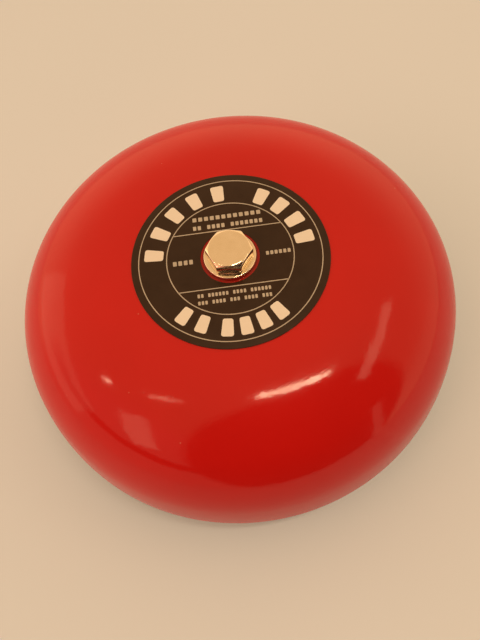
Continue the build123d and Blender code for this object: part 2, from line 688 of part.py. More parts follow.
with BuildPart() as terminal_fixings:
    slotted_screw(BLOCK_SCREWS, M3_R, BOSS_LOW + 1, PLATFORM_TOP + 2.5, 2.4, 1.6, 0.7)
terminal_fixings.part.label = "terminal_fixings"
export_step(terminal_fixings.part, "parts/terminal_fixings.step")

for pole, pole_y in POLES.items():
    clamp_top = CONTACT_TOP + CLAMP_T
    with BuildPart() as clamp:
        block((POLE_SCREW_X - 3.5, POLE_SCREW_X + 3.5), (pole_y - 3.1, pole_y + 3.1), (CONTACT_TOP, clamp_top))
        fillet(clamp.edges().filter_by(Axis.Z), 0.6)
        drum([(POLE_SCREW_X, pole_y)], TERMINAL_SCREW_R + 0.1, CONTACT_TOP, clamp_top, mode=Mode.SUBTRACT)
    clamp.part.label = pole + "_clamp"
    export_step(clamp.part, "parts/" + pole + "_clamp.step")
    with BuildPart() as screw:
        slotted_screw([(POLE_SCREW_X, pole_y)], TERMINAL_SCREW_R, PLATFORM_TOP + 1.2, clamp_top, 2.9, 2.4, 0.8)
    screw.part.label = pole + "_screw"
    export_step(screw.part, "parts/" + pole + "_screw.step")

with BuildPart() as earth_washer:
    drum([EARTH_PLACE], 4.5, PLATFORM_TOP, PLATFORM_TOP + 1.0)
    drum([EARTH_PLACE], M4_R + 0.1, PLATFORM_TOP, PLATFORM_TOP + 1.0, mode=Mode.SUBTRACT)
earth_washer.part.label = "earth_washer"
export_step(earth_washer.part, "parts/earth_washer.step")

with BuildPart() as earth_screw:
    slotted_screw([EARTH_PLACE], M4_R, BOSS_LOW + 0.5, PLATFORM_TOP + 1.0, 4.0, 2.4, 1.0)
earth_screw.part.label = "earth_screw"
export_step(earth_screw.part, "parts/earth_screw.step")

# ---------------------------------------------------------------- inner leads, each soldered at both ends

TAG_Z = 16.5
TAG_END_X = BLOCK_X[0] - 1.0

with BuildPart() as supply_leads:
    wire([(TAG_END_X, POLES["line"], TAG_Z), (12.6, POLES["line"], TAG_Z), (10.6, 8.0, 20.2), (8.0, 13.0, 21.5),
          (8.0, 13.0, BOARD_TOP)], [2.5, 3.0, 1.6], LEAD_R)
    wire([(TAG_END_X, POLES["neutral"], TAG_Z), (13.2, POLES["neutral"], TAG_Z), (14.0, 0.5, 21.5),
          (11.0, 9.0, 23.5), (10.6, 16.0, 22.0), (10.6, 16.0, BOARD_TOP)], [1.8, 3.5, 3.5, 1.6], LEAD_R)
supply_leads.part.label = "supply_leads"
export_step(supply_leads.part, "parts/supply_leads.step")

with BuildPart() as coil_leads:
    lead_x = -14.2
    wire([(lead_x, -BOBBIN_BACK, 31.0), (lead_x, -8.0, 31.0), (-13.4, 5.0, 25.0), (-12.0, 13.0, 22.0),
          (-12.0, 13.0, BOARD_TOP)], [7.0, 6.0, 1.8], LEAD_R)
    wire([(lead_x, -BOBBIN_BACK, 34.0), (lead_x, -6.0, 34.0), (-15.6, 8.0, 27.0), (-16.2, 17.0, 22.5),
          (-16.2, 17.0, BOARD_TOP)], [7.0, 6.0, 1.8], LEAD_R)
coil_leads.part.label = "coil_leads"
export_step(coil_leads.part, "parts/coil_leads.step")
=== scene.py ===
import json
import math

import bmesh
import bpy
from mathutils import Matrix, Vector, noise


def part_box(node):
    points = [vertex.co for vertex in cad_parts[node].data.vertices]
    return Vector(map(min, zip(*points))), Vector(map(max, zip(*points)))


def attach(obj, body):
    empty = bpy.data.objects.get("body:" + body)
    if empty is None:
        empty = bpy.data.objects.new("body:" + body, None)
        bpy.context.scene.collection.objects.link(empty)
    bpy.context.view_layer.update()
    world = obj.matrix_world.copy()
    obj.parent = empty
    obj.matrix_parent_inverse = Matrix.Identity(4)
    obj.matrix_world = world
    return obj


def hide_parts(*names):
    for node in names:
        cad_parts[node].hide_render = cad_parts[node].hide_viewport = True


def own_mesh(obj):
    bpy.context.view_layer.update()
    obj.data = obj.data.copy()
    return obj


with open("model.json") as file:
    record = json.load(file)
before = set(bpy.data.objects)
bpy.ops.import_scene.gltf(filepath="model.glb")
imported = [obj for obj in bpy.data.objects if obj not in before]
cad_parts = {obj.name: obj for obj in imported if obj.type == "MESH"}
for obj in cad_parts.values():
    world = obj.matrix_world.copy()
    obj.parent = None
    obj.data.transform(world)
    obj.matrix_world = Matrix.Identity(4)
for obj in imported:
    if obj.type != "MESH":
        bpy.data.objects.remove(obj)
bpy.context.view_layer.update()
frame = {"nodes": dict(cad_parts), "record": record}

# A 150 mm fire alarm bell: a red enamelled gong over a black housing with a solenoid striker.
# Shapes are worked out in millimetres in the frame's axes, and MM turns them into metres.
MM = 0.001

# ---- Gong ----
GONG_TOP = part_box("gong")[1][2] / MM
GONG_WALL = 1.6
GONG_HOLE_R = 4.4
GONG_FLAT_R = 34.0
GONG_FLAT_STEPS = 14
# crown, shoulder and side, which meet tangent: radius, turn in degrees, steps
GONG_ARCS = ((55.5, 29.3, 44), (25.7, 51.1, 48), (76.6, 9.6, 12))
GONG_STEPS = 288
RIM_ROUND = 0.6
RIM_STEPS = 5
# The inner wall stands this far off the CAD one, so that it shares no face with the seat washer.
SEAT_GAP = 0.03
# height of the pressing's unevenness, the size of its broad and fine waves, and where it fades in
PRESS_WAVE = 0.035
PRESS_BROAD = 17.0
PRESS_FINE = 7.0
PRESS_FADE = 10.0

# ---- Label on the gong's flat top ----
LABEL_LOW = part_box("gong_label")[0][2] / MM
LABEL_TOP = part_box("gong_label")[1][2] / MM
LABEL_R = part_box("gong_label")[1][0] / MM
LABEL_HOLE_R = 9.25
OUTER_RING_R = 28.7
INNER_RING_R = 19.9
RING_W = 0.3
UPPER_CHORD_Y = 9.9
LOWER_CHORD_Y = -10.5
INK_T = 0.03
LABEL_STEPS = 192
LABEL_EDGE = 0.08
INK_EDGE = 0.01

# Large printed blocks: angles in degrees, then half width, middle radius and height
UPPER_MARKS = [171.0 - 19.3 * k for k in range(5)] + [59.5 - 17.0 * k for k in range(4)]
UPPER_MARK_SIZE = (1.95, 24.0, 6.0)
LOWER_MARKS = [229.5, 244.5] + [262.5 + 13.1 * k for k in range(4)]
LOWER_MARK_SIZE = (1.75, 24.2, 5.8)
MARK_CORNER = 0.8

# Small printed lines: left, right, y, height, blocks in each group
SMALL_LINES = (
    (-10.9, 11.6, 15.0, 1.5, (12,)),
    (-10.9, 11.8, 11.8, 1.5, (2, 4, 7)),
    (-11.4, 11.4, -12.5, 1.25, (2, 6, 4, 6)),
    (-11.4, 11.4, -14.9, 1.25, (3, 4, 3, 4, 3)),
    (-18.2, -11.4, -0.2, 1.6, (4,)),
    (11.0, 19.1, -0.5, 1.35, (6,)),
)
LETTER_FILL = 0.68
LETTER_CORNER = 0.2

# ---- Gong bolt, M8 ----
BOLT_AF = 13.0
BOLT_TURN = math.radians(-6.65)
HEAD_FLAT_R = 6.1
HEAD_CHAMFER = math.tan(math.radians(29))
HEAD_EDGE_R = 0.45
HEAD_STEPS = 360
HEAD_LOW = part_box("bolt_washer")[1][2] / MM
HEAD_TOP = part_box("gong_bolt")[1][2] / MM
SHANK_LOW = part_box("gong_bolt")[0][2] / MM
THREAD_R = 3.92
THREAD_ROOT_R = 3.32
THREAD_PITCH = 1.25
THREAD_STEPS = 64
THREAD_ROWS_PER_PITCH = 10
WASHER_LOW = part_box("bolt_washer")[0][2] / MM
WASHER_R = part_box("bolt_washer")[1][0] / MM
WASHER_HOLE_R = 4.2
WASHER_EDGE = 0.4
# outer radius of the painted shade that darkens the enamel round the washer, standing in for its contact
# shadow
WASHER_SHADE_OUTER_R = 9.9

# ---- Return spring: closed ends, between the plunger's clip and the solenoid's frame, along -Y ----
STRIKE_Z = 27.0
SPRING_BACK_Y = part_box("return_spring")[1][1] / MM
SPRING_FRONT_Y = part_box("return_spring")[0][1] / MM
SPRING_R = 5.4
SPRING_WIRE_R = 0.4
SPRING_TURNS = 5.5
SPRING_CLOSED_TURNS = 0.75
SPRING_STEPS_PER_TURN = 40
SPRING_SIDES = 12

# ---- Circuit board ----
BOARD_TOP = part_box("circuit_board")[1][2] / MM
DIODE_ROWS = (12.6, 15.4, 18.2, 21.0)
DIODE_LEFT = -9.5
DIODE_RIGHT = -0.5
DIODE_X = (DIODE_LEFT + DIODE_RIGHT) / 2
DIODE_Z = BOARD_TOP + 1.5
DIODE_R = 1.3
# a painted band on each diode: its two ends along the diode, and how far it lies in and out of the skin
BAND_FROM = 1.0
BAND_TO = 1.7
BAND_IN = 0.1
BAND_OUT = 0.03
PIN_R = 0.4
WIRE_R = 0.7
VARISTOR_PINS = ((3.5, 13.5), (3.5, 18.5))
SUPPLY_ENDS = ((8.0, 13.0), (10.6, 16.0))
COIL_ENDS = ((-12.0, 13.0), (-16.2, 17.0))
# the feet of the leads: x, y, radius of the wire
LEAD_FEET = (
    [(x, y, PIN_R) for y in DIODE_ROWS for x in (DIODE_LEFT, DIODE_RIGHT)]
    + [(x, y, PIN_R) for x, y in VARISTOR_PINS]
    + [(x, y, WIRE_R) for x, y in SUPPLY_ENDS + COIL_ENDS]
)
WIDE = 1.8
NARROW = 1.4
# tracks: from, to, width
JOINED_ROWS = (DIODE_ROWS[:2], DIODE_ROWS[2:])
TRACKS = [((x, near), (x, far), WIDE) for x in (DIODE_LEFT, DIODE_RIGHT) for near, far in JOINED_ROWS] + [
    (COIL_ENDS[0], (DIODE_LEFT, 13.0), NARROW),
    (COIL_ENDS[1], (DIODE_LEFT, 19.0), NARROW),
    ((DIODE_RIGHT, 14.0), VARISTOR_PINS[0], NARROW),
    (VARISTOR_PINS[0], SUPPLY_ENDS[0], WIDE),
    ((DIODE_RIGHT, 20.0), VARISTOR_PINS[1], NARROW),
    (VARISTOR_PINS[1], SUPPLY_ENDS[1], WIDE),
]
TRACK_T = 0.04

# ---- Camera, at the focal length and place that the outline and the label's circles give ----
CAMERA_AT = Vector((4.38, -103.23, 229.91)) * MM
CAMERA_FORWARD = Vector((-0.0193, 0.4233, -0.9058))
CAMERA_RIGHT = Vector((0.9913, -0.11, -0.0726))
CAMERA_LENS = 36.39
SENSOR_W = 36.0
CLIP_START = 0.01

# ---- Floor ----
FLOOR_HALF = 3.0
FLOOR_COLOURS = ((0.58, 0.70, 0.82), (0.61, 0.73, 0.85))
FLOOR_GLOW = (1.0, 0.75, 0.5)
FLOOR_GLOW_STRENGTH = 0.20

# ---- Room light: linear radiance of the surroundings in each direction, whose height is 1 overhead ----
CEILING_GLOW = (0.80, 0.49, 0.25)
WALL_GLOW = (1.35, 0.85, 0.47)
DARK_GLOW = (0.04, 0.02, 0.015)
WALL_TOP = 0.62
WALL_LOW = 0.15
# a dark patch in front on the right, and a dimmer wall at the near left with a dark shelf edge across it
DARK_TOWARDS = (0.30, -0.76, 0.574)
DARK_OUTER = 0.69
DARK_INNER = 0.75
NEAR_GLOW = (1.20, 0.46, 0.30)
NEAR_TOWARDS = (-0.78, -0.62, 0.0)
NEAR_OUTER = 0.50
NEAR_INNER = 0.72
SHELF_LOW = 0.32
SHELF_HIGH = 0.41
SHELF_BLUR = 0.03
BACKDROP = (0.62, 0.56, 0.49)

# ---- Lamps that the gloss shows, all aimed at the bell ----
LAMP_TINT = (1.0, 0.72, 0.46)
LAMP_TARGET = Vector((0, 0, 0.045))
# name, direction from the bell, distance, (length, width), watts, direction of the length
LAMPS = (
    ("ceiling_strip", (0.19, -0.135, 0.97), 1.2, (0.42, 0.06), 2.6, (1, 0.06, 0)),
    ("window_left", (-0.645, -0.45, 0.61), 1.3, (0.46, 0.26), 0.65, (0.1, -1, -0.8)),
    ("strip_right", (0.63, -0.05, 0.76), 1.3, (0.62, 0.13), 0.62, (-0.15, -1, 0.1)),
    ("door_right", (0.73, -0.61, 0.25), 1.3, (0.75, 0.11), 0.22, (0.25, 0.1, 1)),
    ("wall_left", (-0.94, 0.15, 0.30), 1.7, (1.5, 0.7), 2.4, (0.15, 1, 0)),
    ("thin_left", (-0.41, -0.15, 0.90), 1.3, (0.22, 0.016), 0.17, (1, 0, 0.4)),
    ("spot_left", (-0.697, -0.057, 0.715), 1.3, (0.05, 0.03), 0.13, (1, 0, 0.9)),
)


# ---------------------------------------------------------------- node helpers

def add(tree, kind, inputs=None, **settings):
    """Add a node, set its properties, and set or link its inputs."""
    node = tree.nodes.new(kind)
    for key, value in settings.items():
        setattr(node, key, value)
    for key, value in (inputs or {}).items():
        socket = node.inputs[key]
        if isinstance(value, bpy.types.NodeSocket):
            tree.links.new(value, socket)
        else:
            socket.default_value = value
    return node


def material(name, **shader_values):
    """A new material, its node tree and its Principled shader with plain values set on it."""
    mat = bpy.data.materials.new(name)
    mat.use_nodes = True
    tree = mat.node_tree
    shader = tree.nodes["Principled BSDF"]
    for key, value in shader_values.items():
        shader.inputs[key.replace("_", " ")].default_value = value
    return mat, tree, shader


def rgb(red, green, blue):
    """A colour given in linear light."""
    return (red, green, blue, 1.0)


def coordinates(tree, stretch=(1, 1, 1)):
    """Object coordinates in metres, stretched along the axes."""
    place = add(tree, "ShaderNodeTexCoord").outputs["Object"]
    return add(tree, "ShaderNodeMapping", {"Vector": place, "Scale": stretch}).outputs["Vector"]


def speckle(tree, vector, size_mm, detail=4.0, rough=0.55):
    """Noise whose features are about size_mm across."""
    node = add(tree, "ShaderNodeTexNoise", {"Vector": vector, "Scale": 1000 / size_mm, "Detail": detail,
                                            "Roughness": rough})
    return node.outputs["Fac"]


def ramp(tree, value, low, high, to_low=0.0, to_high=1.0):
    """Map a value from one range to another, clamped."""
    node = add(tree, "ShaderNodeMapRange", {"Value": value, "From Min": low, "From Max": high,
                                            "To Min": to_low, "To Max": to_high})
    return node.outputs["Result"]


def smooth_ramp(tree, value, low, high):
    """0 at low, 1 at high, with a soft start and end."""
    node = add(tree, "ShaderNodeMapRange", {"Value": value, "From Min": low, "From Max": high},
               interpolation_type="SMOOTHSTEP")
    return node.outputs["Result"]


def maths(tree, operation, first, second=0.0):
    """One sum on numbers or sockets."""
    node = add(tree, "ShaderNodeMath", operation=operation)
    for socket, value in zip(node.inputs, (first, second)):
        if isinstance(value, bpy.types.NodeSocket):
            tree.links.new(value, socket)
        else:
            socket.default_value = value
    return node.outputs["Value"]


def blend_colours(tree, factor, first, second):
    """Mix two colours by a factor between 0 and 1."""
    node = add(tree, "ShaderNodeMix", data_type="RGBA")
    for socket, value in ((node.inputs[0], factor), (node.inputs[6], first), (node.inputs[7], second)):
        if isinstance(value, bpy.types.NodeSocket):
            tree.links.new(value, socket)
        else:
            socket.default_value = value
    return node.outputs[2]


def add_bump(tree, shader, height, strength, depth_um, soft_mm=0.0):
    """Bump on top of edges that are softened by soft_mm."""
    bump = add(tree, "ShaderNodeBump", {"Height": height, "Strength": strength, "Distance": depth_um * 1e-6})
    if soft_mm:
        soft = add(tree, "ShaderNodeBevel", {"Radius": soft_mm * MM}, samples=6)
        tree.links.new(soft.outputs["Normal"], bump.inputs["Normal"])
    tree.links.new(bump.outputs["Normal"], shader.inputs["Normal"])
    return bump


def edges_mask(tree, radius_mm, size_mm):
    """1 along sharp edges, broken up by noise, for wear."""
    soft = add(tree, "ShaderNodeBevel", {"Radius": radius_mm * MM}, samples=4)
    flat = add(tree, "ShaderNodeNewGeometry")
    dot = add(tree, "ShaderNodeVectorMath", operation="DOT_PRODUCT")
    tree.links.new(soft.outputs["Normal"], dot.inputs[0])
    tree.links.new(flat.outputs["Normal"], dot.inputs[1])
    edge = ramp(tree, dot.outputs["Value"], 0.995, 0.93)
    broken = ramp(tree, speckle(tree, coordinates(tree), size_mm, 6.0, 0.65), 0.42, 0.6)
    return maths(tree, "MULTIPLY", edge, broken)


# ---------------------------------------------------------------- materials

def enamel(name, colour, deep, peel):
    """Stoved gloss enamel: a clear top coat with orange peel, and a few specks of dust in it."""
    mat, tree, shader = material(name, Roughness=0.6, Coat_Weight=0.6, Coat_Roughness=0.07, Coat_IOR=1.5,
                                  Specular_IOR_Level=0.1)
    place = coordinates(tree)
    cloud = ramp(tree, speckle(tree, place, 38, 3.0), 0.3, 0.7)
    colour_now = blend_colours(tree, cloud, deep, colour)
    specks = add(tree, "ShaderNodeTexVoronoi", {"Vector": place, "Scale": 90.0, "Randomness": 1.0})
    dust = ramp(tree, specks.outputs["Distance"], 0.028, 0.012)
    dusty = blend_colours(tree, maths(tree, "MULTIPLY", dust, 0.35), colour_now, rgb(0.62, 0.36, 0.27))
    # Painted shade: the enamel's colour darkens towards the bolt's washer, standing in for the washer's
    # contact shadow on the bare ring of paint inside the label's hole.
    from_axis = add(tree, "ShaderNodeVectorMath", {0: place, 1: (1, 1, 0)}, operation="MULTIPLY")
    reach = add(tree, "ShaderNodeVectorMath", {0: from_axis.outputs["Vector"]}, operation="LENGTH")
    washer_shade = smooth_ramp(tree, reach.outputs["Value"], WASHER_SHADE_OUTER_R * MM, WASHER_R * MM)
    tree.links.new(blend_colours(tree, maths(tree, "MULTIPLY", washer_shade, 0.75), dusty, rgb(0.10, 0.008, 0.004)),
                   shader.inputs["Base Color"])
    waves = speckle(tree, place, 9, 1.0)
    grain = speckle(tree, place, 1.6, 2.0, 0.5)
    height = maths(tree, "ADD", maths(tree, "MULTIPLY", waves, 2.2), maths(tree, "MULTIPLY", grain, peel))
    bump = add_bump(tree, shader, height, 0.35, 60)
    tree.links.new(bump.outputs["Normal"], shader.inputs["Coat Normal"])
    tree.links.new(ramp(tree, speckle(tree, place, 6, 5.0), 0.35, 0.7, 0.07, 0.12),
                   shader.inputs["Coat Roughness"])
    return mat


def printed(name, colour, pale, roughness):
    """Screen-printed ink or film: a satin skin with a faint mottle and fine scuffs."""
    mat, tree, shader = material(name, Roughness=roughness, IOR=1.4)
    place = coordinates(tree)
    mottle = ramp(tree, speckle(tree, place, 5, 6.0, 0.65), 0.3, 0.75)
    scuffs = speckle(tree, coordinates(tree, (1, 14, 1)), 12, 8.0, 0.7)
    scuff_mask = ramp(tree, scuffs, 0.62, 0.74, 0.0, 0.25)
    tone = blend_colours(tree, mottle, colour, pale)
    tree.links.new(blend_colours(tree, scuff_mask, tone, pale), shader.inputs["Base Color"])
    tree.links.new(ramp(tree, mottle, 0.0, 1.0, roughness - 0.05, roughness + 0.1),
                   shader.inputs["Roughness"])
    add_bump(tree, shader, speckle(tree, place, 0.5, 3.0), 0.25, 10)
    return mat


def metal(name, bright, dull, roughness, brush=(1, 1, 1), grain_mm=0.5, depth_um=4.0):
    """Bare or plated metal with patches, worn edges, and fine lines across the axis that brush stretches."""
    mat, tree, shader = material(name, Metallic=1.0, Roughness=roughness)
    place = coordinates(tree)
    patches = ramp(tree, speckle(tree, place, 4, 5.0, 0.6), 0.32, 0.68)
    worn = edges_mask(tree, 0.25, 1.2)
    tone = blend_colours(tree, patches, dull, bright)
    tree.links.new(blend_colours(tree, maths(tree, "MULTIPLY", worn, 0.6), tone, rgb(0.97, 0.94, 0.86)),
                   shader.inputs["Base Color"])
    lines = speckle(tree, coordinates(tree, brush), grain_mm, 3.0, 0.6)
    tree.links.new(ramp(tree, lines, 0.3, 0.7, roughness - 0.07, roughness + 0.09),
                   shader.inputs["Roughness"])
    add_bump(tree, shader, lines, 0.4, depth_um, 0.12)
    return mat


def moulded(name, colour, pale, roughness, grain_mm=0.6, depth_um=25.0, coat=0.0, ribs_mm=0.0):
    """Moulded plastic, rubber or tape: fine texture, faint cloud, rubbed edges, and ribs if asked."""
    mat, tree, shader = material(name, Roughness=roughness, IOR=1.5, Coat_Weight=coat, Coat_Roughness=0.2)
    place = coordinates(tree)
    cloud = ramp(tree, speckle(tree, place, 14, 5.0, 0.6), 0.3, 0.75)
    rubbed = edges_mask(tree, 0.35, 2.0)
    tone = blend_colours(tree, cloud, colour, pale)
    tree.links.new(blend_colours(tree, maths(tree, "MULTIPLY", rubbed, 0.6), tone, pale),
                   shader.inputs["Base Color"])
    tree.links.new(ramp(tree, cloud, 0.0, 1.0, roughness - 0.06, roughness + 0.06),
                   shader.inputs["Roughness"])
    height = speckle(tree, place, grain_mm, 3.0, 0.6)
    if ribs_mm:
        # At scale 1 the wave texture's bands repeat every pi / 10 units.
        waves = add(tree, "ShaderNodeTexWave", {"Vector": place, "Scale": math.pi * 100 / ribs_mm,
                                                "Distortion": 0.6, "Detail": 1.0}, bands_direction="Y")
        height = maths(tree, "ADD", height, maths(tree, "MULTIPLY", waves.outputs["Fac"], 2.0))
    add_bump(tree, shader, height, 0.5, depth_um, 0.3)
    return mat


def powder_coat(name, colour, pale):
    """Thermoset powder over a casting: a fine pebble, with bare alloy where edges have rubbed."""
    mat, tree, shader = material(name, Roughness=0.5, IOR=1.5)
    place = coordinates(tree)
    cloud = ramp(tree, speckle(tree, place, 20, 5.0, 0.6), 0.3, 0.7)
    worn = edges_mask(tree, 0.3, 1.5)
    tone = blend_colours(tree, cloud, colour, pale)
    tree.links.new(blend_colours(tree, worn, tone, rgb(0.55, 0.55, 0.54)), shader.inputs["Base Color"])
    tree.links.new(worn, shader.inputs["Metallic"])
    tree.links.new(ramp(tree, cloud, 0.0, 1.0, 0.42, 0.56), shader.inputs["Roughness"])
    pebble = speckle(tree, place, 1.1, 3.0, 0.55)
    add_bump(tree, shader, pebble, 0.55, 50, 0.4)
    return mat


FINISHES = {
    "gong_paint": enamel("gong_enamel", rgb(0.64, 0.007, 0.004), rgb(0.60, 0.006, 0.003), 1.0),
    "gong_paint_inside": enamel("gong_enamel_inside", rgb(0.40, 0.018, 0.010), rgb(0.30, 0.012, 0.007), 6.0),
    "label_print": printed("label_film", rgb(0.026, 0.010, 0.002), rgb(0.036, 0.016, 0.005), 0.34),
    "label_ink_thin": printed("label_ink_thin", rgb(0.52, 0.50, 0.42), rgb(0.62, 0.60, 0.52), 0.45),
    "label_ink": printed("label_ink", rgb(0.92, 0.92, 0.84), rgb(0.95, 0.95, 0.88), 0.45),
    "zinc_plate": metal("zinc_plate", rgb(0.96, 0.86, 0.66), rgb(0.90, 0.79, 0.58), 0.13, grain_mm=1.5,
                        depth_um=0.1),
    "base_paint": powder_coat("base_powder", rgb(0.020, 0.020, 0.021), rgb(0.034, 0.034, 0.035)),
    "seal_rubber": moulded("seal_rubber", rgb(0.012, 0.012, 0.013), rgb(0.045, 0.045, 0.046), 0.62, 0.4,
                           18.0),
    "cover_plastic": moulded("cover_plastic", rgb(0.014, 0.014, 0.015), rgb(0.038, 0.038, 0.040), 0.42),
    "nylon": moulded("nylon", rgb(0.62, 0.58, 0.47), rgb(0.74, 0.71, 0.62), 0.38, 0.8, 10.0),
    "plain_steel": metal("plain_steel", rgb(0.52, 0.53, 0.52), rgb(0.36, 0.36, 0.36), 0.34, (1, 1, 9)),
    "bobbin_plastic": moulded("bobbin_plastic", rgb(0.52, 0.47, 0.35), rgb(0.66, 0.62, 0.50), 0.4, 0.8,
                              10.0),
    "copper_wire": metal("copper_wire", rgb(0.62, 0.23, 0.09), rgb(0.45, 0.14, 0.05), 0.3, (1, 40, 1)),
    "coil_tape": moulded("coil_tape", rgb(0.60, 0.36, 0.05), rgb(0.70, 0.46, 0.10), 0.25, 2.0, 40.0, 0.6,
                         ribs_mm=0.5),
    "guide_brass": metal("guide_brass", rgb(0.78, 0.52, 0.20), rgb(0.58, 0.36, 0.12), 0.28, (1, 9, 1)),
    "board_laminate": moulded("board_laminate", rgb(0.010, 0.085, 0.030), rgb(0.016, 0.12, 0.045), 0.3,
                              2.0, 8.0, 0.4),
    "diode_body": moulded("diode_body", rgb(0.010, 0.010, 0.010), rgb(0.035, 0.035, 0.035), 0.35, 0.5, 8.0),
    "varistor_coat": moulded("varistor_coat", rgb(0.012, 0.055, 0.30), rgb(0.020, 0.080, 0.36), 0.3, 1.6,
                             20.0, 0.5),
    "capacitor_case": moulded("capacitor_case", rgb(0.62, 0.40, 0.03), rgb(0.72, 0.50, 0.06), 0.32, 1.5,
                              10.0),
    "terminal_plastic": moulded("terminal_plastic", rgb(0.030, 0.030, 0.032), rgb(0.070, 0.070, 0.074),
                                0.42),
    "supply_sleeve": moulded("supply_sleeve", rgb(0.62, 0.61, 0.56), rgb(0.74, 0.73, 0.69), 0.35, 1.5, 8.0),
    "coil_sleeve": moulded("coil_sleeve", rgb(0.38, 0.012, 0.008), rgb(0.50, 0.03, 0.02), 0.35, 1.5, 8.0),
    "solder": metal("solder", rgb(0.70, 0.70, 0.70), rgb(0.52, 0.52, 0.53), 0.22),
    "board_track": moulded("board_track", rgb(0.018, 0.14, 0.050), rgb(0.026, 0.18, 0.07), 0.28, 2.0, 6.0,
                           0.4),
    "diode_band": moulded("diode_band", rgb(0.42, 0.42, 0.42), rgb(0.52, 0.52, 0.52), 0.4, 0.5, 4.0),
    "spring_steel": metal("spring_steel", rgb(0.60, 0.60, 0.61), rgb(0.42, 0.42, 0.43), 0.22),
}


# ---------------------------------------------------------------- mesh helpers

def finish_mesh(name, bm, slot_name, body, replaced=(), look=None, smooth_deg=35):
    """Turn a bmesh in millimetres into a named piece in metres that rides on a body."""
    bmesh.ops.remove_doubles(bm, verts=bm.verts, dist=1e-4)
    bmesh.ops.recalc_face_normals(bm, faces=bm.faces)
    bmesh.ops.scale(bm, vec=(MM, MM, MM), verts=bm.verts)
    mesh = bpy.data.meshes.new(name)
    bm.to_mesh(mesh)
    bm.free()
    mesh.shade_smooth()
    mesh.set_sharp_from_angle(angle=math.radians(smooth_deg))
    piece = bpy.data.objects.new(name, mesh)
    bpy.context.scene.collection.objects.link(piece)
    mesh.materials.append(FINISHES[look or slot_name])
    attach(piece, body)
    if replaced:
        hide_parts(*replaced)
    return piece


def rounded(outline, radius, steps=4):
    """A closed outline of points with each corner turned into an arc of about the radius."""
    result = []
    for k, corner in enumerate(outline):
        here = Vector(corner)
        before = Vector(outline[k - 1])
        after = Vector(outline[(k + 1) % len(outline)])
        back = before - here
        ahead = after - here
        reach = min(radius, 0.45 * back.length, 0.45 * ahead.length)
        start = here + back.normalized() * reach
        end = here + ahead.normalized() * reach
        for j in range(steps + 1):
            t = j / steps
            result.append((1 - t) ** 2 * start + 2 * t * (1 - t) * here + t ** 2 * end)
    return result


def lathe(bm, profile, steps, centre=(0.0, 0.0)):
    """Turn a closed outline of (radius, height) points about an upright axis, and return its points."""
    rings = []
    for k in range(steps):
        turn = 2 * math.pi * k / steps
        rings.append([bm.verts.new((centre[0] + r * math.cos(turn), centre[1] + r * math.sin(turn), h))
                      for r, h in profile])
    for k, ring in enumerate(rings):
        ahead = rings[(k + 1) % steps]
        for j in range(len(profile)):
            j_next = (j + 1) % len(profile)
            bm.faces.new((ring[j], ring[j_next], ahead[j_next], ahead[j]))
    return [vert for ring in rings for vert in ring]


def tube(bm, path, radius, sides):
    """A round wire along a smooth path, closed at both ends."""
    rings = []
    across = Vector((0, 0, 1))
    for k, point in enumerate(path):
        along = (path[min(k + 1, len(path) - 1)] - path[max(k - 1, 0)]).normalized()
        across = (across - along * across.dot(along)).normalized()
        third = along.cross(across)
        ring = []
        for j in range(sides):
            turn = 2 * math.pi * j / sides
            ring.append(bm.verts.new(point + radius * (math.cos(turn) * across + math.sin(turn) * third)))
        rings.append(ring)
    for ring, ahead in zip(rings, rings[1:]):
        for j in range(sides):
            j_next = (j + 1) % sides
            bm.faces.new((ring[j], ring[j_next], ahead[j_next], ahead[j]))
    bm.faces.new(rings[0][::-1])
    bm.faces.new(rings[-1])


def plate(bm, outline, low, high):
    """A flat plate between two heights from an outline of (x, y) points."""
    bottom = [bm.verts.new((x, y, low)) for x, y in outline]
    top = [bm.verts.new((x, y, high)) for x, y in outline]
    bm.faces.new(bottom[::-1])
    bm.faces.new(top)
    for k in range(len(outline)):
        k_next = (k + 1) % len(outline)
        bm.faces.new((bottom[k], bottom[k_next], top[k_next], top[k]))


# ---------------------------------------------------------------- gong

def dome_points(inset):
    """The gong's section from its centre hole to its rim, set in from the outside by inset."""
    points = []
    for k in range(GONG_FLAT_STEPS):
        r = GONG_HOLE_R + (GONG_FLAT_R - GONG_HOLE_R) * k / GONG_FLAT_STEPS
        points.append((r, GONG_TOP - inset))
    r, z, slope = GONG_FLAT_R, GONG_TOP, 0.0
    for radius, turn, steps in GONG_ARCS:
        centre = Vector((r - radius * math.sin(slope), z - radius * math.cos(slope)))
        for k in range(steps):
            a = slope + math.radians(turn) * k / steps
            points.append((centre.x + (radius - inset) * math.sin(a),
                           centre.y + (radius - inset) * math.cos(a)))
        slope += math.radians(turn)
        r = centre.x + radius * math.sin(slope)
        z = centre.y + radius * math.cos(slope)
    points.append((r - inset, z))
    return points


